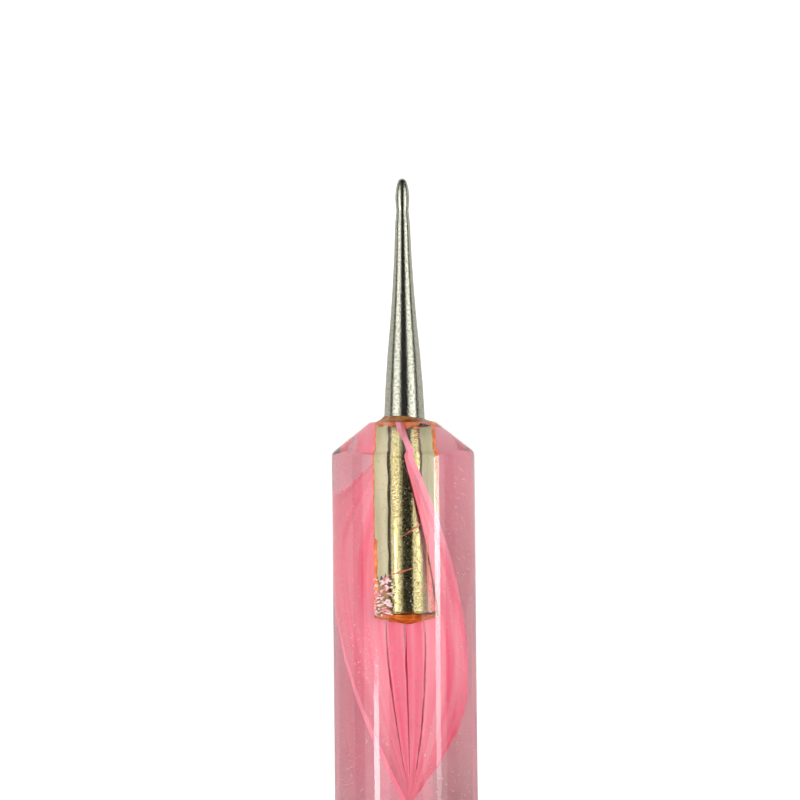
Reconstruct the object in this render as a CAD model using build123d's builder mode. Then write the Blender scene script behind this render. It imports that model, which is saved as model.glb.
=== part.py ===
"""Embossing stylus: two steel points glued into a clear acrylic bar with a twisted inlay.

The tool lies along Y, fine point towards +Y, and the bar touches z = 0. Millimetres.
"""
import os
from math import radians, tan

from build123d import *

# handle bar
bar_diameter = 8.0
handle_length = 105.0
end_face_diameter = 3.7
cone_slope = 38.4
shoulder_round = 0.4

# bore at each end
bore_diameter = 2.5
bore_depth = 10.9
drill_tip_depth = 0.42
bore_runout = 0.1

# twisted inlay, left-handed
ribbon_wide_reach = 2.91
ribbon_narrow_reach = 2.36
inner_strip_reach = 0.75
strip_gap = 0.1
strip_thickness = 0.28
twist_pitch = 40.7
half_turns = 6
crossing_below_face = 0.95

# steel points
point_reach = 13.63
shank_diameter = 2.27
shank_end_bevel = 0.08
shank_exposed = 0.35
neck_round = 0.25

fine_bulb_diameter = 0.79
fine_nose_length = 1.05
fine_nose_shares = (0.634, 0.169)
fine_neck_diameter = 0.69
fine_neck_from_tip = 1.78

broad_bulb_diameter = 1.6
broad_nose_length = 0.8
broad_nose_shares = (0.707, 0.293)
broad_neck_diameter = 1.0
broad_neck_from_tip = 1.42

# where the taper's outline lies between neck and shank
taper_length_shares = [0.061, 0.27, 0.549, 0.705]
taper_growth_shares = [0.087, 0.222, 0.513, 0.732]

# adhesive
glue_under_pin = 0.16
glue_rim_gap = 0.06
glue_climb = 0.4
glue_lip = 0.03
glue_sag_share = 0.35
left_pocket_depths = (0.25, 8.7)
left_pocket_angles = (38.0, 150.0)
right_pocket_depths = (0.8, 5.4)
right_pocket_angles = (48.0, 112.0)
broad_pocket_depths = (2.4, 7.0)
broad_pocket_angles = (70.0, 130.0)

bar_radius = bar_diameter / 2
bore_radius = bore_diameter / 2
shank_radius = shank_diameter / 2
end_face_radius = end_face_diameter / 2
half_length = handle_length / 2
cone_length = (bar_radius - end_face_radius) * tan(radians(cone_slope))
pin_centre = (bore_runout, 0, bar_radius)

bar_plane = Plane.XY.offset(bar_radius)
bar_axis = Axis((0, 0, bar_radius), (0, 1, 0))
pin_plane = Plane(origin=pin_centre, x_dir=(1, 0, 0), z_dir=(0, 0, 1))
pin_axis = Axis(pin_centre, (0, 1, 0))


def bar_blank():
    """The bar with both ends turned down to a cone."""
    with BuildPart() as blank:
        with BuildSketch(bar_plane) as outline:
            with BuildLine():
                Polyline(
                    (0, -half_length),
                    (end_face_radius, -half_length),
                    (bar_radius, -half_length + cone_length),
                    (bar_radius, half_length - cone_length),
                    (end_face_radius, half_length),
                    (0, half_length),
                    close=True,
                )
            make_face()
            shoulders = outline.vertices().sort_by(Axis.X)[-2:]
            fillet(shoulders, shoulder_round)
        revolve(axis=bar_axis)
    return blank.part


def bore_space():
    """The drilled hole of the +Y end, with its shallow tip."""
    with BuildPart() as space:
        with BuildSketch(pin_plane):
            with BuildLine():
                Polyline(
                    (0, half_length - bore_depth - drill_tip_depth),
                    (bore_radius, half_length - bore_depth),
                    (bore_radius, half_length),
                    (0, half_length),
                    close=True,
                )
            make_face()
        revolve(axis=pin_axis)
    return space.part


def twisted_strip(near, far):
    """One strip of the ribbon, from near to far across it, swept half a turn at a time."""
    span = twist_pitch / 2
    crossing = half_length - crossing_below_face
    with BuildPart() as strip:
        for step in range(-half_turns, 1):
            foot = (0, crossing + step * span, bar_radius)
            across = Plane(origin=foot, x_dir=(0, 0, (-1) ** step), z_dir=(0, 1, 0))
            guide = Helix(twist_pitch, span, bar_radius, lefthand=True).moved(across.location)
            with BuildLine(across):
                spine = Line((0, 0, 0), (0, 0, span))
            with BuildSketch(across) as section:
                with Locations(((near + far) / 2, 0)):
                    Rectangle(far - near, strip_thickness)
            sweep(sections=section.sketch, path=spine, binormal=guide.edge(), clean=False)
    return strip.part


def turned_point(bulb_diameter, nose_length, nose_shares, neck_diameter, neck_from_tip):
    """One pin of the +Y end: bulb, neck, taper and the shank inside the bore."""
    tip = half_length + point_reach
    neck = tip - neck_from_tip
    root = half_length + shank_exposed
    foot = half_length - bore_depth + glue_under_pin
    bulb_radius = bulb_diameter / 2
    neck_radius = neck_diameter / 2
    out_share, down_share = nose_shares
    crown = (bulb_radius * out_share, tip - nose_length * down_share)
    flare, slim, turn, full = [
        (neck_radius + (shank_radius - neck_radius) * wider, neck - (neck - root) * along)
        for along, wider in zip(taper_length_shares, taper_growth_shares)
    ]
    with BuildPart() as pin:
        with BuildSketch(pin_plane) as outline:
            with BuildLine():
                cap = TangentArc((0, tip), crown, tangent=(1, 0))
                flank = TangentArc(cap @ 1, (bulb_radius, tip - nose_length), tangent=cap % 1)
                back = TangentArc(flank @ 1, (neck_radius, neck), tangent=(0, -1))
                collar = Line(back @ 1, flare)
                hollow = ThreePointArc(collar @ 1, slim, turn)
                belly = ThreePointArc(hollow @ 1, full, (shank_radius, root))
                Polyline(
                    belly @ 1,
                    (shank_radius, foot + shank_end_bevel),
                    (shank_radius - shank_end_bevel, foot),
                    (0, foot),
                    (0, tip),
                )
            make_face()
            waist = outline.vertices().sort_by_distance(pin_plane.from_local_coords(back @ 1))[0]
            fillet(waist, neck_round)
        revolve(axis=pin_axis)
    return pin.part


def pocket(depths, angles):
    """An air pocket in the glue of the +Y end; angles run from the top towards -X."""
    shallow, deep = depths
    first, last = angles
    with BuildPart() as void:
        with BuildSketch(Plane(origin=pin_centre, x_dir=(1, 0, 0), z_dir=(0, -1, 0))):
            with BuildLine():
                sector = CenterArc((0, 0), bar_radius, 90 + first, last - first)
                Polyline(sector @ 1, (0, 0), sector @ 0)
            make_face()
        extrude(amount=deep - shallow)
    return void.part.moved(Location((0, half_length - shallow, 0)))


def adhesive(pin, space, pockets):
    """The glue of the +Y end: film, disc under the pin and the bead on the end face."""
    foot_radius = end_face_radius - glue_rim_gap - bore_runout
    lip_radius = shank_radius + glue_lip
    climb = half_length + glue_climb
    sag = ((foot_radius + lip_radius) / 2, half_length + glue_climb * glue_sag_share)
    with BuildPart() as glue:
        add(space)
        with BuildSketch(pin_plane):
            with BuildLine():
                slope = Spline((lip_radius, climb), sag, (foot_radius, half_length))
                Polyline(slope @ 1, (0, half_length), (0, climb), slope @ 0)
            make_face()
        revolve(axis=pin_axis)
        add(pin, mode=Mode.SUBTRACT)
        for void in pockets:
            add(void, mode=Mode.SUBTRACT)
    return glue.part


def far_end(piece):
    """The same piece at the -Y end."""
    return piece.rotate(Axis((0, 0, bar_radius), (0, 0, 1)), 180)


blank = bar_blank()
space = bore_space()
far_space = far_end(space)

ribbon_cuts = {
    "inlay_strip_outer_a": (-ribbon_wide_reach, -inner_strip_reach - strip_gap / 2),
    "inlay_strip_inner_a": (-inner_strip_reach + strip_gap / 2, -strip_gap / 2),
    "inlay_strip_inner_b": (strip_gap / 2, inner_strip_reach - strip_gap / 2),
    "inlay_strip_outer_b": (inner_strip_reach + strip_gap / 2, ribbon_narrow_reach),
}

parts = {}
for name, (near, far) in ribbon_cuts.items():
    with BuildPart() as strip:
        add(twisted_strip(near, far), clean=False)
        add(blank, mode=Mode.INTERSECT, clean=False)
        add(space, mode=Mode.SUBTRACT, clean=False)
        add(far_space, mode=Mode.SUBTRACT, clean=False)
    parts[name] = strip.part

with BuildPart() as handle:
    add(blank)
    add(space, mode=Mode.SUBTRACT)
    add(far_space, mode=Mode.SUBTRACT)
    for name in ribbon_cuts:
        add(parts[name], mode=Mode.SUBTRACT, clean=False)
parts["handle_rod"] = handle.part

fine_pin = turned_point(
    fine_bulb_diameter, fine_nose_length, fine_nose_shares, fine_neck_diameter, fine_neck_from_tip
)
broad_pin = turned_point(
    broad_bulb_diameter,
    broad_nose_length,
    broad_nose_shares,
    broad_neck_diameter,
    broad_neck_from_tip,
)
fine_pockets = [
    pocket(left_pocket_depths, left_pocket_angles),
    pocket(right_pocket_depths, (-right_pocket_angles[1], -right_pocket_angles[0])),
]
broad_pockets = [pocket(broad_pocket_depths, broad_pocket_angles)]
parts["fine_point"] = fine_pin
parts["fine_adhesive"] = adhesive(fine_pin, space, fine_pockets)
parts["broad_point"] = far_end(broad_pin)
parts["broad_adhesive"] = far_end(adhesive(broad_pin, space, broad_pockets))

os.makedirs("parts", exist_ok=True)
for name, piece in parts.items():
    piece.label = name
    export_step(piece, f"parts/{name}.step")
    print(name, round(piece.volume, 3), "solids", len(piece.solids()))
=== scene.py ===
import math
import random

import bmesh
import bpy
from mathutils import Matrix, Vector, noise


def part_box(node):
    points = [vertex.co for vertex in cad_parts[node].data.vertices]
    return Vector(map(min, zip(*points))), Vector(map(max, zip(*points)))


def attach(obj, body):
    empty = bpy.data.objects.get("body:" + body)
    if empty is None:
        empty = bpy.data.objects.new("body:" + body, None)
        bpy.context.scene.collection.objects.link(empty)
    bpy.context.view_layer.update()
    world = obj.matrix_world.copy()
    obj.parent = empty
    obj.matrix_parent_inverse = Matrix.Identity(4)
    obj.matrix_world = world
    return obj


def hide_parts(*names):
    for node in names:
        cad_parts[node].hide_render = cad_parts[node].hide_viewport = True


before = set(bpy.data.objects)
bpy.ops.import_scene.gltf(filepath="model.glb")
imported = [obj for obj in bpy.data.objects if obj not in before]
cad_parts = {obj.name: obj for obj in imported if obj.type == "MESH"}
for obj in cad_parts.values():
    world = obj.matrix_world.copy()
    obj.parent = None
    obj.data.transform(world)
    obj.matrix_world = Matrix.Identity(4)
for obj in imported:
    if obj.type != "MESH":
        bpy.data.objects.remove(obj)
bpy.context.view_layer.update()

scene = bpy.context.scene
scene.view_settings.view_transform = "Standard"
mm = 0.001
perMm = 1000  # patterns and their widths are in mm, on coordinates in metres
castInIor = 1.01  # a surface cast into acrylic meets no step in index, so it has no gloss
mergeDistance = 1e-8

# sizes read off the frame
handleLow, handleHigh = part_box("handle_rod")
pinLow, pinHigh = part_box("fine_point")
barRadius = (handleHigh.z - handleLow.z) / 2
barMiddle = Vector((0, 0, barRadius))
faceY = handleHigh.y
shankRadius = (pinHigh.x - pinLow.x) / 2
pinMiddle = Vector(((pinHigh.x + pinLow.x) / 2, 0, barRadius))
print("frame loaded")


def hexColour(code):
    channels = [int(code[i:i + 2], 16) / 255 for i in (1, 3, 5)]
    linear = [c / 12.92 if c <= 0.04045 else ((c + 0.055) / 1.055) ** 2.4 for c in channels]
    return (*linear, 1.0)


# settings go to a socket of that name or number, and otherwise to the node itself
def addNode(tree, kind, settings=None, links=None):
    node = tree.nodes.new(kind)
    for name, value in (settings or {}).items():
        if isinstance(name, int) or name in node.inputs:
            node.inputs[name].default_value = value
        else:
            setattr(node, name, value)
    for name, source in (links or {}).items():
        tree.links.new(source, node.inputs[name])
    return node


def startMaterial(name):
    material = bpy.data.materials.new(name)
    material.use_nodes = True
    material.node_tree.nodes.clear()
    return material, material.node_tree


# the place in mm, for a pattern. A small share along Y draws the pattern out along the bar
def inMm(tree, place, alongY=1.0):
    return addNode(tree, "ShaderNodeMapping", {"Scale": (perMm, perMm * alongY, perMm)},
                   {"Vector": place}).outputs[0]


def mixColours(tree, share, first, second):
    return addNode(tree, "ShaderNodeMix",
                   {"data_type": "RGBA", 6: hexColour(first), 7: hexColour(second)},
                   {0: share}).outputs[2]


# 0 at the first value, 1 at the second and a straight slope between
def shareBetween(tree, value, first, second):
    return addNode(tree, "ShaderNodeMapRange", {"From Min": first, "From Max": second},
                   {"Value": value}).outputs[0]


# each value is a number or another node's output
def calculate(tree, operation, *values):
    constants = {i: v for i, v in enumerate(values) if isinstance(v, (int, float))}
    sources = {i: v for i, v in enumerate(values) if i not in constants}
    return addNode(tree, "ShaderNodeMath", {"operation": operation, **constants},
                   sources).outputs[0]


def closeMaterial(tree, surface, volume=None):
    links = {"Surface": surface.outputs[0]}
    if volume:
        links["Volume"] = volume.outputs[0]
    addNode(tree, "ShaderNodeOutputMaterial", {}, links)


# a profile of (radius, y) turned round a line along Y
def lathe(profile, middle, steps):
    bm = bmesh.new()
    verts = [bm.verts.new((middle.x + radius, y, middle.z)) for radius, y in profile]
    edges = [bm.edges.new(pair) for pair in zip(verts, verts[1:])]
    bmesh.ops.spin(bm, geom=verts + edges, cent=middle, axis=(0, 1, 0), angle=2 * math.pi,
                   steps=steps, use_merge=True)
    bmesh.ops.remove_doubles(bm, verts=bm.verts, dist=mergeDistance)
    bmesh.ops.recalc_face_normals(bm, faces=bm.faces)
    return bm


def finishPiece(bm, name, material, standsFor=()):
    mesh = bpy.data.meshes.new(name)
    bm.to_mesh(mesh)
    bm.free()
    mesh.shade_smooth()
    mesh.materials.append(material)
    piece = bpy.data.objects.new(name, mesh)
    scene.collection.objects.link(piece)
    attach(piece, "root")
    if standsFor:
        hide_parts(*standsFor)
    return piece


# each end's pieces are made at the fine end, and the broad end's are then turned round
def stayHere(bm):
    pass


def turnToFarEnd(bm):
    bmesh.ops.rotate(bm, verts=bm.verts, cent=barMiddle, matrix=Matrix.Rotation(math.pi, 3, "Z"))


ends = (("fine", stayHere), ("broad", turnToFarEnd))


# the bar: cast acrylic rod, drawn and polished. It reads as clear rose glass that bends what
# lies in it, with faint lengthwise ripples and a little dust on top
bar = {
    "endFaceRadius": 1.85 * mm,
    "coneSlope": 38.4,
    "shoulderRound": 0.4 * mm,
    "rimRound": 0.06 * mm,
    "cornerSteps": 8,
    "steps": 256,
    "evenWeight": 90,
    "colour": "#FFFFFF",
    "tint": "#F6C8CF",
    "tintDensity": 103.0,  # per metre of acrylic
    "ior": 1.49,
    "roughness": 0.03,
    "rippleWidth": 0.45,
    "rippleStretch": 250,  # length over width
    "speckSize": 0.1,
    "speckFrom": 0.67,  # noise where dust begins, and where it is full
    "speckFull": 0.74,
    "speckCover": 0.65,
    "speckTop": 1.1,  # height of full cover, in radii
    "gritShare": 0.12,
    "relief": 0.02 * mm,
    "reliefShare": 0.38,
}


def acrylicMaterial():
    material, tree = startMaterial("cast rose acrylic")
    place = addNode(tree, "ShaderNodeTexCoord").outputs["Object"]
    ripple = addNode(tree, "ShaderNodeTexNoise", {"Scale": 1 / bar["rippleWidth"], "Detail": 2.0},
                     {"Vector": inMm(tree, place, 1 / bar["rippleStretch"])})
    # dust on the upper side, drawn twice as coarse as real so that it shows
    dust = addNode(tree, "ShaderNodeTexNoise", {"Scale": 1 / bar["speckSize"], "Detail": 1.0},
                   {"Vector": inMm(tree, place)})
    parts = addNode(tree, "ShaderNodeSeparateXYZ", {}, {0: place})
    upper = addNode(tree, "ShaderNodeMapRange",
                    {"From Min": barRadius, "From Max": barRadius * bar["speckTop"],
                     "To Max": bar["speckCover"]},
                    {"Value": parts.outputs["Z"]})
    speck = addNode(tree, "ShaderNodeMapRange",
                    {"From Min": bar["speckFrom"], "From Max": bar["speckFull"]},
                    {"Value": dust.outputs["Fac"], "To Max": upper.outputs[0]})
    clear = calculate(tree, "SUBTRACT", 1.0, speck.outputs[0])
    # fine grit from the polish breaks up the edges of a highlight
    height = calculate(tree, "MULTIPLY_ADD", dust.outputs["Fac"], bar["gritShare"],
                       ripple.outputs["Fac"])
    bump = addNode(tree, "ShaderNodeBump",
                   {"Strength": bar["reliefShare"], "Distance": bar["relief"]},
                   {"Height": height})
    shader = addNode(tree, "ShaderNodeBsdfPrincipled",
                     {"Base Color": hexColour(bar["colour"]), "Roughness": bar["roughness"],
                      "IOR": bar["ior"]},
                     {"Transmission Weight": clear, "Normal": bump.outputs[0]})
    depth = addNode(tree, "ShaderNodeVolumeAbsorption",
                    {"Color": hexColour(bar["tint"]), "Density": bar["tintDensity"]})
    closeMaterial(tree, shader, depth)
    return material


# a corner of the profile, rounded tangent to both sides
def roundedCorner(before, corner, after, radius, steps):
    toBefore = (Vector(before) - Vector(corner)).normalized()
    toAfter = (Vector(after) - Vector(corner)).normalized()
    half = toBefore.angle(toAfter) / 2
    centre = Vector(corner) + (toBefore + toAfter).normalized() * radius / math.sin(half)
    start = Vector(corner) + toBefore * radius / math.tan(half) - centre
    sweep = math.pi - 2 * half
    turn = 1 if toBefore.cross(toAfter) < 0 else -1
    points = []
    for i in range(steps + 1):
        step = Matrix.Rotation(turn * sweep * i / steps, 2)
        points.append(tuple(centre + step @ start))
    return points


def buildBar():
    coneLength = (barRadius - bar["endFaceRadius"]) * math.tan(math.radians(bar["coneSlope"]))
    top = (0, faceY)
    rim = (bar["endFaceRadius"], faceY)
    shoulder = (barRadius, faceY - coneLength)
    waist = (barRadius, 0)
    half = [top]
    half += roundedCorner(top, rim, shoulder, bar["rimRound"], bar["cornerSteps"])
    half += roundedCorner(rim, shoulder, waist, bar["shoulderRound"], bar["cornerSteps"])
    lower = [(radius, -y) for radius, y in reversed(half)]
    bm = lathe(half + lower, barMiddle, bar["steps"])
    piece = finishPiece(bm, "clear_bar", acrylicMaterial(), ("handle_rod",))
    # keeps the flat end face and the cone from shading into each other
    even = piece.modifiers.new("evenNormals", "WEIGHTED_NORMAL")
    even.weight = bar["evenWeight"]


buildBar()
print("bar built")


# the twisted inlay: opaque acrylic sheet, cut in strips and cast in. It reads as matt pink with
# faint lengthwise streaks, and warms where light comes through it
inlay = {
    "colour": "#FFB0C0",
    "deepColour": "#FF84A0",
    "throughColour": "#FF5A78",
    "letsThrough": 0.15,
    "roughness": 0.45,
    "streakWidth": 0.35,
    "streakStretch": 40,  # length over width
    "streakFrom": 0.4,
    "streakTo": 0.66,
    "twistPitch": 40.7 * mm,
    "crossingBelowFace": 0.95 * mm,
}


def inlayMaterial():
    material, tree = startMaterial("pink acrylic sheet")
    place = addNode(tree, "ShaderNodeTexCoord").outputs["Object"]
    parts = addNode(tree, "ShaderNodeSeparateXYZ", {}, {0: place})
    # how far across the ribbon: the place is turned back by the twist at its Y
    perMetre = 2 * math.pi / inlay["twistPitch"]
    crossing = faceY - inlay["crossingBelowFace"]
    turn = calculate(tree, "MULTIPLY_ADD", parts.outputs["Y"], -perMetre, crossing * perMetre)
    sine = calculate(tree, "SINE", turn)
    cosine = calculate(tree, "COSINE", turn)
    height = calculate(tree, "SUBTRACT", parts.outputs["Z"], barRadius)
    alongX = calculate(tree, "MULTIPLY", parts.outputs["X"], sine)
    alongZ = calculate(tree, "MULTIPLY", height, cosine)
    across = calculate(tree, "ADD", alongX, alongZ)
    strand = addNode(tree, "ShaderNodeCombineXYZ", {}, {"X": across, "Y": parts.outputs["Y"]})
    streaks = addNode(tree, "ShaderNodeTexNoise",
                      {"Scale": 1 / inlay["streakWidth"], "Detail": 3.0},
                      {"Vector": inMm(tree, strand.outputs[0], 1 / inlay["streakStretch"])})
    tone = shareBetween(tree, streaks.outputs["Fac"], inlay["streakFrom"], inlay["streakTo"])
    colour = mixColours(tree, tone, inlay["colour"], inlay["deepColour"])
    front = addNode(tree, "ShaderNodeBsdfPrincipled",
                    {"Roughness": inlay["roughness"], "IOR": castInIor}, {"Base Color": colour})
    through = addNode(tree, "ShaderNodeBsdfTranslucent",
                      {"Color": hexColour(inlay["throughColour"])})
    both = addNode(tree, "ShaderNodeMixShader", {0: inlay["letsThrough"]},
                   {1: front.outputs[0], 2: through.outputs[0]})
    closeMaterial(tree, both)
    return material


def dressNode(name, material):
    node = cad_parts[name]
    node.data.materials.clear()
    node.data.materials.append(material)


pinkSheet = inlayMaterial()
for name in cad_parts:
    if name.startswith("inlay_strip"):
        dressNode(name, pinkSheet)
print("inlay dressed")


# the points: turned steel under dull nickel. It mirrors the lamps in broken bands through its
# cutter's grain, and is yellowed by the glue inside the bore
point = {
    "colour": "#BCBCAE",
    "darkColour": "#9A9A88",
    "gluedColour": "#A2AE98",
    "gluedDark": "#747650",
    "roughness": 0.2,
    "grainWidth": 0.13,
    "grainSquash": 1.3,
    "grainFrom": 0.38,
    "grainTo": 0.54,
    "relief": 0.02 * mm,
    "reliefShare": 0.5,
    "stainFades": (0.1 * mm, 0.05 * mm),  # inside and outside the end face
}


def steelMaterial():
    material, tree = startMaterial("nickel plated steel")
    place = addNode(tree, "ShaderNodeTexCoord").outputs["Object"]
    # grain is longer round the pin than along it, as a cutter leaves it, and is drawn about
    # three times as coarse as real so that it shows
    grain = addNode(tree, "ShaderNodeTexNoise",
                    {"Scale": 1 / point["grainWidth"], "Detail": 3.0, "Roughness": 0.65},
                    {"Vector": inMm(tree, place, point["grainSquash"])})
    tone = shareBetween(tree, grain.outputs["Fac"], point["grainFrom"], point["grainTo"])
    plating = mixColours(tree, tone, point["darkColour"], point["colour"])
    stained = mixColours(tree, tone, point["gluedDark"], point["gluedColour"])
    # both ends alike: the stain stops where the pin leaves the bore
    parts = addNode(tree, "ShaderNodeSeparateXYZ", {}, {0: place})
    out = calculate(tree, "ABSOLUTE", parts.outputs["Y"])
    inside, outside = point["stainFades"]
    free = shareBetween(tree, out, faceY - inside, faceY + outside)
    colour = addNode(tree, "ShaderNodeMix", {"data_type": "RGBA"},
                     {0: free, 6: stained, 7: plating})
    bump = addNode(tree, "ShaderNodeBump",
                   {"Strength": point["reliefShare"], "Distance": point["relief"]},
                   {"Height": grain.outputs["Fac"]})
    shader = addNode(tree, "ShaderNodeBsdfPrincipled",
                     {"Metallic": 1.0, "Roughness": point["roughness"]},
                     {"Base Color": colour.outputs[2], "Normal": bump.outputs[0]})
    closeMaterial(tree, shader)
    return material


nickel = steelMaterial()
dressNode("fine_point", nickel)
dressNode("broad_point", nickel)
print("points dressed")


# the glue: set epoxy. It reads as yellow film on the bore wall, as orange where it is thick, in
# the plug, the collar and the bead, and as a mirror where it left air round the pin
glue = {
    "boreRadius": 1.25 * mm,
    "boreDepth": 10.9 * mm,
    "tipDepth": 0.42 * mm,
    "underPin": 0.16 * mm,
    "plugInset": 0.02 * mm,
    "mouthGap": 0.01 * mm,
    "clear": "#FFFFFF",
    "tint": "#F6E600",
    "tintDensity": 2300.0,
    "airRadius": 1.19 * mm,
    "airFrom": 0.3 * mm,
    "airTo": 10.62 * mm,
    "airRound": 0.08 * mm,
    "airRoundSteps": 4,
    "airLiftLeft": 1.9 * mm,
    "airLiftFrom": 42,  # degrees
    "airLiftSpan": 20,
    "airRag": 0.7 * mm,
    "airRagTurns": 6,
    "airRagSeed": 0.5,
    "airIor": 0.671,
    "beadIor": 1.5,
    "beadRadius": 1.7 * mm,
    "beadSunk": 0.04 * mm,
    "beadGap": 0.02 * mm,
    "beadClimb": 0.34 * mm,
    "beadShares": (0.25, 0.5, 0.75, 0.9, 1),  # from its rim to the pin
    "beadHollow": 1.8,
    "beadRun": 0.3,
    "beadSpread": 0.06,
    "beadDip": 0.18 * mm,
    "beadLump": 0.05 * mm,
    "beadLumps": 2.5,
    "amberTones": ("#CC7430", "#FA8E40", "#FAB870"),
    "plugTones": ("#A25A20", "#D2762E", "#E89A50"),
    "footTones": ("#6E4A30", "#94754A", "#B5A06C"),
    "tonePlaces": (0.36, 0.5, 0.66),
    "roughness": 0.25,
    "relief": 0.05 * mm,
    "reliefShare": 0.4,
    "collarFrom": 0.03 * mm,
    "collarDepth": 0.5 * mm,
    "collarInner": 1.16 * mm,
    "collarOuter": 1.245 * mm,
    "collarRag": 0.45 * mm,
    "collarRagTurns": 2.5,
    "collarRagSeed": 4.5,
    "blotchWidth": 0.5,
    "blotchBend": 0.4,
    "beadCloud": 0.85,
    "steps": 128,
}


def filmMaterial():
    material, tree = startMaterial("amber glue film")
    # no step in index from the acrylic, so that only its depth colours it
    shader = addNode(tree, "ShaderNodeBsdfPrincipled",
                     {"Base Color": hexColour(glue["clear"]), "Roughness": 0.0, "IOR": 1.0,
                      "Transmission Weight": 1.0})
    depth = addNode(tree, "ShaderNodeVolumeAbsorption",
                    {"Color": hexColour(glue["tint"]), "Density": glue["tintDensity"]})
    closeMaterial(tree, shader, depth)
    return material


def airMaterial():
    material, tree = startMaterial("air in acrylic")
    # index of air over that of acrylic, which silvers the sides of the gap
    shader = addNode(tree, "ShaderNodeBsdfGlass",
                     {"Color": hexColour(glue["clear"]), "Roughness": 0.0,
                      "IOR": glue["airIor"]})
    closeMaterial(tree, shader)
    return material


# thick glue, blotched from dark to pale as it set unevenly
def amberMaterial(name, tones, cloud, ior):
    material, tree = startMaterial(name)
    place = addNode(tree, "ShaderNodeTexCoord").outputs["Object"]
    blotch = addNode(tree, "ShaderNodeTexNoise",
                     {"Scale": 1 / glue["blotchWidth"], "Detail": 3.0,
                      "Distortion": glue["blotchBend"]},
                     {"Vector": inMm(tree, place)})
    colour = addNode(tree, "ShaderNodeValToRGB", {}, {"Fac": blotch.outputs["Fac"]})
    stops = colour.color_ramp.elements
    stops.new(0.5)
    for stop, tonePlace, tone in zip(stops, glue["tonePlaces"], tones):
        stop.position = tonePlace
        stop.color = hexColour(tone)
    bump = addNode(tree, "ShaderNodeBump",
                   {"Strength": glue["reliefShare"], "Distance": glue["relief"]},
                   {"Height": blotch.outputs["Fac"]})
    shader = addNode(tree, "ShaderNodeBsdfPrincipled",
                     {"Roughness": glue["roughness"], "IOR": ior,
                      "Transmission Weight": 1 - cloud},
                     {"Base Color": colour.outputs[0], "Normal": bump.outputs[0]})
    closeMaterial(tree, shader)
    return material


amberFilm = filmMaterial()
trappedAir = airMaterial()
setAmber = amberMaterial("set amber glue", glue["amberTones"], glue["beadCloud"],
                         glue["beadIor"])
castAmber = amberMaterial("amber glue in acrylic", glue["amberTones"], 1.0, castInIor)
plugAmber = amberMaterial("amber glue plug", glue["plugTones"], 1.0, castInIor)
footAmber = amberMaterial("stained glue", glue["footTones"], 1.0, castInIor)


# the angle round the pin from the top towards -X, and the distance from its axis
def roundPin(place):
    offset = place - pinMiddle
    return math.atan2(-offset.x, offset.z), math.hypot(offset.x, offset.z)


def buildFilm(end, finish):
    foot = faceY - glue["boreDepth"]
    mouth = faceY - glue["mouthGap"]
    bm = lathe([(0, foot - glue["tipDepth"]), (glue["boreRadius"], foot),
                (glue["boreRadius"], mouth), (0, mouth)], pinMiddle, glue["steps"])
    finish(bm)
    finishPiece(bm, end + "_glue_film", amberFilm, (end + "_adhesive",))


def buildAir(end, finish):
    low = faceY - glue["airTo"]
    high = faceY - glue["airFrom"]
    radius = glue["airRadius"]
    rounding = (glue["airRound"], glue["airRoundSteps"])
    profile = [(0, low)]
    profile += roundedCorner((0, low), (radius, low), (radius, high), *rounding)
    profile += roundedCorner((radius, low), (radius, high), (0, high), *rounding)
    profile.append((0, high))
    bm = lathe(profile, pinMiddle, glue["steps"])
    # the glue ran further up the left side, to a ragged edge
    for vert in bm.verts:
        angle, distance = roundPin(vert.co)
        if vert.co.y > (low + high) / 2 or distance < radius / 2:
            continue
        left = (math.degrees(angle) - glue["airLiftFrom"]) / glue["airLiftSpan"]
        left = min(max(left, 0), 1)
        rag = noise.noise(Vector((angle * glue["airRagTurns"], glue["airRagSeed"], 0)))
        vert.co.y += left * (glue["airLiftLeft"] + glue["airRag"] * rag)
    finish(bm)
    finishPiece(bm, end + "_air_gap", trappedAir)


def buildPlug(end, finish):
    foot = faceY - glue["boreDepth"]
    inset = glue["plugInset"]
    radius = glue["boreRadius"] - inset
    bm = lathe([(0, foot - glue["tipDepth"] + inset), (radius, foot),
                (radius, foot + glue["underPin"] / 2), (radius - inset, foot + glue["underPin"]),
                (0, foot + glue["underPin"])], pinMiddle, glue["steps"])
    finish(bm)
    finishPiece(bm, end + "_glue_plug", plugAmber)


# where the film is thick, just inside the mouth of the bore
def buildCollar(end, finish):
    high = faceY - glue["collarFrom"]
    low = faceY - glue["collarDepth"]
    inner, outer = glue["collarInner"], glue["collarOuter"]
    bm = lathe([(inner, high), (outer, high), (outer, low), (inner, low), (inner, high)],
               pinMiddle, glue["steps"])
    for vert in bm.verts:
        if vert.co.y < (low + high) / 2:
            turns = roundPin(vert.co)[0] * glue["collarRagTurns"]
            rag = noise.noise(Vector((turns, glue["collarRagSeed"], 0)))
            vert.co.y += glue["collarRag"] * rag
    finish(bm)
    finishPiece(bm, end + "_glue_collar", castAmber)


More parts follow.
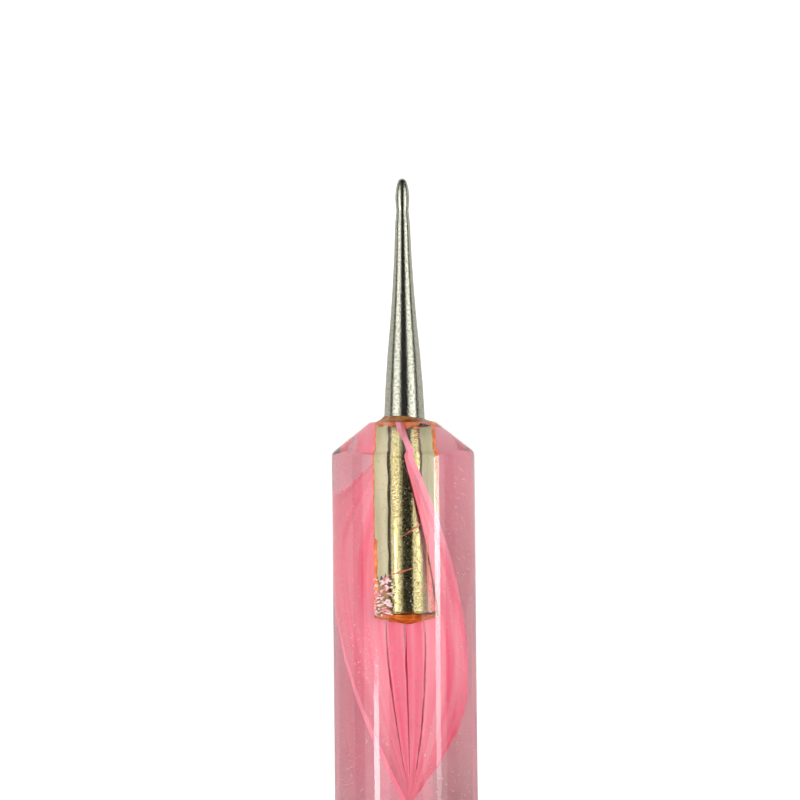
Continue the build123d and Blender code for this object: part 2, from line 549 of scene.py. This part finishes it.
def buildBead(end, finish):
    sunk = faceY - glue["beadSunk"]
    lip = shankRadius + glue["beadGap"]
    span = glue["beadRadius"] - lip
    slope = [(glue["beadRadius"], sunk), (glue["beadRadius"], faceY)]
    for share in glue["beadShares"]:
        slope.append((glue["beadRadius"] - span * share,
                      faceY + glue["beadClimb"] * share ** glue["beadHollow"]))
    bm = lathe([(0, sunk)] + slope + [(0, faceY + glue["beadClimb"])], pinMiddle, glue["steps"])
    coneFall = math.tan(math.radians(bar["coneSlope"]))
    # it ran out to the right and down over the edge of the cone
    for vert in bm.verts:
        angle, distance = roundPin(vert.co)
        if distance < lip / 2:
            continue
        share = min(max((distance - lip) / span, 0), 1)
        right = max(0, -math.sin(angle)) ** 2
        lump = noise.noise(Vector((math.sin(angle), math.cos(angle), 0)) * glue["beadLumps"])
        grow = 1 + share * (glue["beadRun"] * right + glue["beadSpread"] * lump)
        offset = vert.co - pinMiddle
        vert.co.x = pinMiddle.x + offset.x * grow
        vert.co.z = pinMiddle.z + offset.z * grow
        reach = math.hypot(vert.co.x, vert.co.z - barRadius)
        fall = max(0, reach - bar["endFaceRadius"]) * coneFall
        dip = glue["beadDip"] * max(0, -math.sin(angle)) * (1 - share)
        vert.co.y += glue["beadLump"] * lump * (1 - share) - dip - fall
    finish(bm)
    finishPiece(bm, end + "_glue_bead", setAmber)


for end, finish in ends:
    buildFilm(end, finish)
    buildAir(end, finish)
    buildPlug(end, finish)
    buildCollar(end, finish)
    buildBead(end, finish)
print("glue built")


# what dried in the bore: runs, froth, crumbs, cracks and drops, and a pale layer on its wall that
# is a painted reflection of the air gap's mirror. Places are depths from the end face in mm, and
# angles round the pin from the top towards -X
dried = {
    "seed": 11,
    # painted reflection colours, cream, for the air gap's mirror of the white floor and softboxes
    "paintedReflectionColour": "#DEEED4",
    "paintedReflectionDark": "#9EAE8A",
    "skinRoughness": 0.5,
    "skinThick": 0.02 * mm,
    "skinRadius": 1.2 * mm,
    "runRadius": 1.22 * mm,
    "skinSteps": 40,
    "skinRows": 36,
    "skinRag": 0.5 * mm,
    "ragTurns": 7,
    "ragRows": 3,
    "ragSeed": 1.5,
    "ragAtMouth": 0.3,
    "ragPower": 6,
    "swayAngle": 4,
    "swayPerMm": 1.2,
    "swayPerRadius": 9,
    "swaySeed": 7.5,
    "skinStreaks": 1.6,
    "skinStreakShare": 0.15,
    # painted reflection: cream layers on the bore wall where the air gap mirrors the floor and
    # softboxes
    # side, then from and to in depth and in angle
    "paintedReflectionSkins": {
        "fine": (("left", 0.12, 8.75, 40, 150), ("right", 0.75, 5.5, -118, -35)),
        "broad": (("left", 2.4, 7.0, 70, 130),),
    },
    "runs": {
        "fine": (("low", 6.5, 10.3, 73, 115), ("left", 0.4, 6.9, 87, 115),
                 ("right", 0.2, 5.7, -115, -74)),
        "broad": (("left", 1.5, 8.0, 72, 115),),
    },
    "foot": (8.9, 10.7, 36, 78),
    "bitColour": "#F6F2F2",
    "bitPink": "#F0A2B0",
    "bitRoughness": 0.6,
    "bitCount": 78,
    "bitSize": 0.2 * mm,
    "bitRadius": 1.222 * mm,
    "bitDepths": (8.7, 10.8),
    "bitAngles": (30, 92),
    "bitPatches": 2.2,
    "bitPinkFrom": 0.56,
    "bitPinkTo": 0.66,
    "bitSpin": 0.5,
    "bitFineness": 2,
    "bitWide": (0.25, 1),  # shares of a bit's size
    "bitLong": (0.1, 0.45),
    "bitThick": 0.02 * mm,
    "bitLumps": 1.5,
    "bitRough": 0.8,
    "crumbCount": 26,
    "crumbSize": 0.2 * mm,
    "crumbRadius": 1.16 * mm,
    "crumbDepths": (0.15, 1.7),
    "crumbAngles": (-72, -18),
    # painted reflection: the pink a crack mirrors, given as its colour
    "paintedCrackReflection": "#E8806E",
    "crackRoughness": (0.25, 0.75),
    "crackWidth": 0.09 * mm,
    "crackClear": 0.004 * mm,
    "crackRise": 0.02 * mm,
    "crackSteps": 24,
    "crackTip": 0.08,
    "crackBreaks": 3.0,
    # depth and angle of both ends
    "cracks": ((6.38, 9, 5.59, -39), (8.62, 49, 8.1, -22), (9.5, -29, 8.95, -61)),
    "dropTint": "#FFF4C8",
    "dropIor": 1.5,
    "dropRoughness": (0.0, 0.08),
    "dropHaze": 5.0,
    "dropLift": 0.006 * mm,
    "dropThick": 0.03 * mm,
    "dropFineness": 3,
    # depth, angle and radius in mm
    "drops": ((3.86, 1, 0.08), (4.92, 24, 0.06), (4.92, 12, 0.04), (4.9, -13, 0.06),
              (6.88, 6, 0.06), (3.3, 20, 0.035), (7.6, -2, 0.04), (5.9, 30, 0.035)),
}


def paintedReflectionMaterial():
    material, tree = startMaterial("painted reflection of the air gap")
    place = addNode(tree, "ShaderNodeTexCoord").outputs["Object"]
    # painted reflection: cream and dull, in soft streaks along the bore, for the white floor and
    # softboxes that the air gap mirrors
    streaks = addNode(tree, "ShaderNodeTexNoise", {"Scale": dried["skinStreaks"], "Detail": 2.0},
                      {"Vector": inMm(tree, place, dried["skinStreakShare"])})
    colour = mixColours(tree, streaks.outputs["Fac"], dried["paintedReflectionDark"], dried["paintedReflectionColour"])
    shader = addNode(tree, "ShaderNodeBsdfPrincipled",
                     {"Roughness": dried["skinRoughness"], "IOR": castInIor},
                     {"Base Color": colour})
    closeMaterial(tree, shader)
    return material


def bitMaterial():
    material, tree = startMaterial("frothed glue bits")
    place = addNode(tree, "ShaderNodeTexCoord").outputs["Object"]
    # white where it frothed, pink where it lets the inlay through
    patches = addNode(tree, "ShaderNodeTexNoise",
                      {"Scale": perMm * dried["bitPatches"], "Detail": 1.0},
                      {"Vector": place})
    tone = shareBetween(tree, patches.outputs["Fac"], dried["bitPinkFrom"], dried["bitPinkTo"])
    colour = mixColours(tree, tone, dried["bitColour"], dried["bitPink"])
    shader = addNode(tree, "ShaderNodeBsdfPrincipled",
                     {"Roughness": dried["bitRoughness"], "IOR": castInIor},
                     {"Base Color": colour})
    closeMaterial(tree, shader)
    return material


def crackMaterial():
    material, tree = startMaterial("crack in the glue")
    place = addNode(tree, "ShaderNodeTexCoord").outputs["Object"]
    broken = addNode(tree, "ShaderNodeTexNoise",
                     {"Scale": perMm * dried["crackBreaks"], "Detail": 2.0},
                     {"Vector": place})
    smooth, rough = dried["crackRoughness"]
    tone = addNode(tree, "ShaderNodeMapRange", {"To Min": smooth, "To Max": rough},
                   {"Value": broken.outputs["Fac"]})
    # painted reflection: the crack's pink colour stands in for the pink round it that it mirrors;
    # it is brighter in places
    shader = addNode(tree, "ShaderNodeBsdfPrincipled",
                     {"Base Color": hexColour(dried["paintedCrackReflection"])},
                     {"Roughness": tone.outputs[0]})
    closeMaterial(tree, shader)
    return material


def dropMaterial():
    material, tree = startMaterial("clear glue drop")
    place = addNode(tree, "ShaderNodeTexCoord").outputs["Object"]
    haze = addNode(tree, "ShaderNodeTexNoise", {"Scale": perMm * dried["dropHaze"]},
                   {"Vector": place})
    smooth, rough = dried["dropRoughness"]
    tone = addNode(tree, "ShaderNodeMapRange", {"To Min": smooth, "To Max": rough},
                   {"Value": haze.outputs["Fac"]})
    # each drop is a small lens with a dark rim and a bright middle
    shader = addNode(tree, "ShaderNodeBsdfPrincipled",
                     {"Base Color": hexColour(dried["dropTint"]), "IOR": dried["dropIor"],
                      "Transmission Weight": 1.0},
                     {"Roughness": tone.outputs[0]})
    closeMaterial(tree, shader)
    return material


def onPin(depth, angle, radius):
    turn = math.radians(angle)
    return Vector((pinMiddle.x - radius * math.sin(turn), faceY - depth * mm,
                   pinMiddle.z + radius * math.cos(turn)))


# a flat profile on the pin's radius, turned from one angle to the other and closed
def turnBetween(bm, first, last, steps, climb=0.0):
    start = Matrix.Rotation(math.radians(-90 - first), 3, "Y")
    bmesh.ops.rotate(bm, verts=bm.verts, cent=pinMiddle, matrix=start)
    bmesh.ops.spin(bm, geom=bm.verts[:] + bm.edges[:] + bm.faces[:], cent=pinMiddle,
                   axis=(0, 1, 0), angle=math.radians(first - last), steps=steps,
                   dvec=(0, climb / steps, 0))
    bmesh.ops.remove_doubles(bm, verts=bm.verts, dist=mergeDistance)
    rims = [edge for edge in bm.edges if edge.is_boundary]
    bmesh.ops.holes_fill(bm, edges=rims)
    bmesh.ops.recalc_face_normals(bm, faces=bm.faces)


# a thin layer on part of the bore wall, from one depth and angle to another
def buildLayer(name, finish, material, radius, shallow, deep, first, last):
    bm = bmesh.new()
    bmesh.ops.create_grid(bm, x_segments=1, y_segments=dried["skinRows"], size=0.5)
    middle = (pinMiddle.x + radius, faceY - (shallow + deep) / 2 * mm, pinMiddle.z)
    bmesh.ops.scale(bm, verts=bm.verts, vec=(dried["skinThick"], (deep - shallow) * mm, 1))
    bmesh.ops.translate(bm, verts=bm.verts, vec=middle)
    turnBetween(bm, first, last, dried["skinSteps"])
    # the ends and sides are ragged, most of all the deep end
    for vert in bm.verts:
        angle = roundPin(vert.co)[0]
        share = (faceY - vert.co.y - shallow * mm) / ((deep - shallow) * mm)
        rag = noise.noise(Vector((angle * dried["ragTurns"], share * dried["ragRows"],
                                  dried["ragSeed"])))
        sway = noise.noise(Vector((share * (deep - shallow) * dried["swayPerMm"],
                                   radius / mm * dried["swayPerRadius"], dried["swaySeed"])))
        vert.co.y += dried["skinRag"] * rag * (dried["ragAtMouth"] + share ** dried["ragPower"])
        turn = Matrix.Rotation(math.radians(dried["swayAngle"]) * sway, 3, "Y")
        vert.co = pinMiddle + turn @ (vert.co - pinMiddle)
    finish(bm)
    finishPiece(bm, name, material)


# small lumps strewn over part of the bore wall or of the pin
def buildBits(name, finish, material, count, size, radius, depths, angles):
    bm = bmesh.new()
    for i in range(count):
        depth = random.uniform(*depths)
        angle = random.uniform(*angles)
        centre = onPin(depth, angle, radius)
        turn = Matrix.Rotation(math.radians(-angle), 4, "Y")
        spin = Matrix.Rotation(random.uniform(-dried["bitSpin"], dried["bitSpin"]), 4, "Z")
        wide = size * random.uniform(*dried["bitWide"])
        long = size * random.uniform(*dried["bitLong"])
        flat = Matrix.Diagonal((wide, long, dried["bitThick"], 1))
        made = bmesh.ops.create_icosphere(
            bm, subdivisions=dried["bitFineness"], radius=1,
            matrix=Matrix.Translation(centre) @ turn @ spin @ flat)
        for vert in made["verts"]:
            lump = noise.noise(vert.co / size * dried["bitLumps"])
            vert.co += (vert.co - centre) * lump * dried["bitRough"]
    bmesh.ops.recalc_face_normals(bm, faces=bm.faces)
    finish(bm)
    finishPiece(bm, name, material)


def buildCracks(end, finish):
    bm = bmesh.new()
    half = dried["crackWidth"] / 2
    inner = shankRadius + dried["crackClear"]
    outer = shankRadius + dried["crackRise"]
    for fromDepth, fromAngle, toDepth, toAngle in dried["cracks"]:
        one = bmesh.new()
        corners = [(inner, -half), (outer, 0), (inner, half)]
        level = faceY - fromDepth * mm
        verts = [one.verts.new((pinMiddle.x + r, level + y, pinMiddle.z)) for r, y in corners]
        one.faces.new(verts)
        turnBetween(one, fromAngle, toAngle, dried["crackSteps"], (fromDepth - toDepth) * mm)
        # it thins out towards its ends
        for vert in one.verts:
            angle = math.degrees(roundPin(vert.co)[0])
            share = (angle - fromAngle) / (toAngle - fromAngle)
            level = faceY - (fromDepth + (toDepth - fromDepth) * share) * mm
            width = dried["crackTip"] + math.sin(math.pi * share)
            vert.co.y = level + (vert.co.y - level) * width
        crack = bpy.data.meshes.new("crack")
        one.to_mesh(crack)
        one.free()
        bm.from_mesh(crack)
        bpy.data.meshes.remove(crack)
    finish(bm)
    finishPiece(bm, end + "_glue_cracks", crackMaterial())


def buildDrops(end, finish):
    bm = bmesh.new()
    for depth, angle, size in dried["drops"]:
        spot = Matrix.Translation(onPin(depth, angle, shankRadius + dried["dropLift"]))
        turn = Matrix.Rotation(math.radians(-angle), 4, "Y")
        flat = Matrix.Diagonal((size * mm, size * mm, dried["dropThick"], 1))
        bmesh.ops.create_icosphere(bm, subdivisions=dried["dropFineness"], radius=1,
                                   matrix=spot @ turn @ flat)
    finish(bm)
    finishPiece(bm, end + "_glue_drops", dropMaterial())


random.seed(dried["seed"])
paintedReflection = paintedReflectionMaterial()
froth = bitMaterial()
for end, finish in ends:
    # painted reflection: a cream layer on the bore wall for the air gap's mirror
    for side, *span in dried["paintedReflectionSkins"][end]:
        buildLayer(end + "_painted_reflection_" + side, finish, paintedReflection, dried["skinRadius"], *span)
    for side, *span in dried["runs"][end]:
        buildLayer(end + "_glue_run_" + side, finish, castAmber, dried["runRadius"], *span)
    buildLayer(end + "_glue_foot", finish, footAmber, dried["skinRadius"], *dried["foot"])
    buildBits(end + "_glue_froth", finish, froth, dried["bitCount"], dried["bitSize"],
              dried["bitRadius"], dried["bitDepths"], dried["bitAngles"])
    buildBits(end + "_glue_crumbs", finish, castAmber, dried["crumbCount"],
              dried["crumbSize"], dried["crumbRadius"], dried["crumbDepths"],
              dried["crumbAngles"])
buildCracks("fine", stayHere)
buildDrops("fine", stayHere)
print("dried glue built")


# camera over the work, turned a hair so that the bar leans as in the picture
shot = {
    "viewWidth": 44.76 * mm,
    "height": 500 * mm,
    "middle": (-0.14 * mm, 53.73 * mm),
    "lean": -0.0099,
    "sensor": 36.0,
    "nearest": 10 * mm,
    "farthest": 20000 * mm,
}


def placeCamera():
    lens = bpy.data.cameras.new("camera")
    lens.sensor_width = shot["sensor"]
    lens.lens = shot["sensor"] * shot["height"] / shot["viewWidth"]
    lens.clip_start = shot["nearest"]
    lens.clip_end = shot["farthest"]
    camera = bpy.data.objects.new("camera", lens)
    camera.location = (*shot["middle"], barRadius + shot["height"])
    camera.rotation_euler = (0, 0, shot["lean"])
    scene.collection.objects.link(camera)
    scene.camera = camera


# two long softboxes with bright tubes in them, and a dark ceiling between them. Angles are in
# degrees from straight up, towards +X
studio = {
    "softboxFrom": 27.0,
    "softboxTo": 70.0,
    "reach": 400 * mm,
    "softboxLength": 595 * mm,
    "softboxMiddle": -72 * mm,
    "softboxGlow": 1.85,
    # each tube's angle, spread, length, centre along Y and glow
    "tubes": {
        "tubeRight": (55.0, 8.0, 17 * mm, 40 * mm, 12.0),
        "tubeRightEnd": (55.0, 8.0, 17.6 * mm, 22.7 * mm, 6.0),
        "tubeRightWide": (50.7, 19.5, 15 * mm, 41 * mm, 2.4),
        "tubeLeft": (-48.0, 8.0, 60 * mm, -5 * mm, 12.0),
    },
    "floorSize": 2000 * mm,
    "floorDrop": 0.02 * mm,
    "floorColour": "#D8D8D4",
    "floorGlow": 0.72,
    "floorInMetal": 0.4,
    # painted light: the strength and pink colour of the floor's glow, seen only through the bar
    "paintedGlowThroughBar": 0.42,
    "throughColour": "#FFACC2",
    # painted shade on the floor, seen in metal and through the bar: its level left and right of
    # the bar, its edges in X, and where it fades along Y
    "paintedShadeLeft": 0.5,
    "paintedShadeRight": 0.0,
    "paintedShadeEdges": (0.42 * mm, 0.6 * mm),
    "paintedShadeFrom": 28 * mm,
    "paintedShadeTo": 48 * mm,
    "ceiling": 0.03,
    "ceilingThroughBar": 0.05,
    "ceilingLean": 5.0,
    "ceilingFrom": 19.0,
    "ceilingTo": 27.0,
    "backdropThroughBar": 0.95,
    "lightInBar": 2.0,
}


def areaLamp(name, angle, spread, length, centreY, glow):
    width = 2 * studio["reach"] * math.tan(math.radians(spread / 2))
    data = bpy.data.lights.new(name, "AREA")
    data.shape = "RECTANGLE"
    data.size = width
    data.size_y = length
    data.energy = glow * math.pi * width * length
    lamp = bpy.data.objects.new(name, data)
    lean = math.radians(angle)
    reach = studio["reach"]
    lamp.location = (reach * math.sin(lean), centreY, barRadius + reach * math.cos(lean))
    lamp.rotation_euler = (0, lean, 0)
    scene.collection.objects.link(lamp)


def placeLights():
    middle = (studio["softboxFrom"] + studio["softboxTo"]) / 2
    spread = studio["softboxTo"] - studio["softboxFrom"]
    for side in (-1, 1):
        areaLamp("softbox", side * middle, spread, studio["softboxLength"],
                 studio["softboxMiddle"], studio["softboxGlow"])
    for name, tube in studio["tubes"].items():
        areaLamp(name, *tube)


def placeFloor():
    bm = bmesh.new()
    bmesh.ops.create_grid(bm, x_segments=1, y_segments=1, size=studio["floorSize"])
    bmesh.ops.translate(bm, verts=bm.verts, vec=(0, 0, -studio["floorDrop"]))
    mesh = bpy.data.meshes.new("floor")
    bm.to_mesh(mesh)
    bm.free()
    material, tree = startMaterial("white paper sweep")
    place = addNode(tree, "ShaderNodeTexCoord").outputs["Object"]
    path = addNode(tree, "ShaderNodeLightPath")
    # a ray sent on by glass also counts as glossy, so the two are told apart first
    through = path.outputs["Is Transmission Ray"]
    share = addNode(tree, "ShaderNodeMapRange",
                    {"To Min": studio["floorInMetal"], "To Max": studio["paintedGlowThroughBar"]},
                    {"Value": through})
    bounced = calculate(tree, "MULTIPLY", path.outputs["Is Glossy Ray"], share.outputs[0])
    # painted shade: seen in metal and through the bar, the paper's two sides are darker further
    # down the bar, the right one most
    parts = addNode(tree, "ShaderNodeSeparateXYZ", {}, {0: place})
    near, far = studio["paintedShadeEdges"]
    left = addNode(tree, "ShaderNodeMapRange",
                   {"From Min": -far, "From Max": -near, "To Min": studio["paintedShadeLeft"]},
                   {"Value": parts.outputs["X"]})
    right = addNode(tree, "ShaderNodeMapRange",
                    {"From Min": near, "From Max": far, "To Min": 1.0,
                     "To Max": studio["paintedShadeRight"]},
                    {"Value": parts.outputs["X"]})
    sides = calculate(tree, "MULTIPLY", left.outputs[0], right.outputs[0])
    paintedShade = addNode(tree, "ShaderNodeMapRange",
                  {"From Min": studio["paintedShadeFrom"], "From Max": studio["paintedShadeTo"]},
                  {"Value": parts.outputs["Y"], "To Min": sides})
    dimmed = calculate(tree, "MULTIPLY", bounced, paintedShade.outputs[0])
    strength = calculate(tree, "MULTIPLY_ADD", path.outputs["Is Camera Ray"],
                         studio["floorGlow"], dimmed)
    paper = addNode(tree, "ShaderNodeBsdfDiffuse", {"Color": hexColour(studio["floorColour"])})
    # painted light: seen only through the bar, the paper glows pink, for the light that came
    # through the bar onto the paper under it
    shade = addNode(tree, "ShaderNodeMix",
                    {"data_type": "RGBA", 6: (1, 1, 1, 1), 7: hexColour(studio["throughColour"])},
                    {0: through})
    glow = addNode(tree, "ShaderNodeEmission", {},
                   {"Color": shade.outputs[2], "Strength": strength})
    both = addNode(tree, "ShaderNodeAddShader", {}, {0: paper.outputs[0], 1: glow.outputs[0]})
    closeMaterial(tree, both)
    mesh.materials.append(material)
    floor = bpy.data.objects.new("floor", mesh)
    scene.collection.objects.link(floor)


def setWorld():
    world = bpy.data.worlds.new("studio")
    world.use_nodes = True
    tree = world.node_tree
    tree.nodes.clear()
    path = addNode(tree, "ShaderNodeLightPath")
    # the ceiling over the bar stays dark between the softboxes
    towards = addNode(tree, "ShaderNodeTexCoord").outputs["Generated"]
    parts = addNode(tree, "ShaderNodeSeparateXYZ", {}, {0: towards})
    angle = calculate(tree, "ARCTAN2", parts.outputs["X"], parts.outputs["Z"])
    lean = calculate(tree, "SUBTRACT", angle, math.radians(studio["ceilingLean"]))
    aside = calculate(tree, "ABSOLUTE", lean)
    # what the inlay scatters is lit more than what is seen straight through
    bright = addNode(tree, "ShaderNodeMapRange",
                     {"To Min": studio["backdropThroughBar"], "To Max": studio["lightInBar"]},
                     {"Value": path.outputs["Diffuse Depth"]})
    backdrop = addNode(tree, "ShaderNodeMapRange",
                       {"From Min": math.radians(studio["ceilingFrom"]),
                        "From Max": math.radians(studio["ceilingTo"]),
                        "To Min": studio["ceilingThroughBar"]},
                       {"Value": aside, "To Max": bright.outputs[0]})
    through = addNode(tree, "ShaderNodeMapRange", {"To Min": studio["ceiling"]},
                      {"Value": path.outputs["Is Transmission Ray"],
                       "To Max": backdrop.outputs[0]})
    level = calculate(tree, "MAXIMUM", path.outputs["Is Camera Ray"], through.outputs[0])
    sky = addNode(tree, "ShaderNodeBackground", {"Color": (1, 1, 1, 1)}, {"Strength": level})
    addNode(tree, "ShaderNodeOutputWorld", {}, {"Surface": sky.outputs[0]})
    scene.world = world


placeCamera()
placeLights()
placeFloor()
setWorld()
print("studio set")
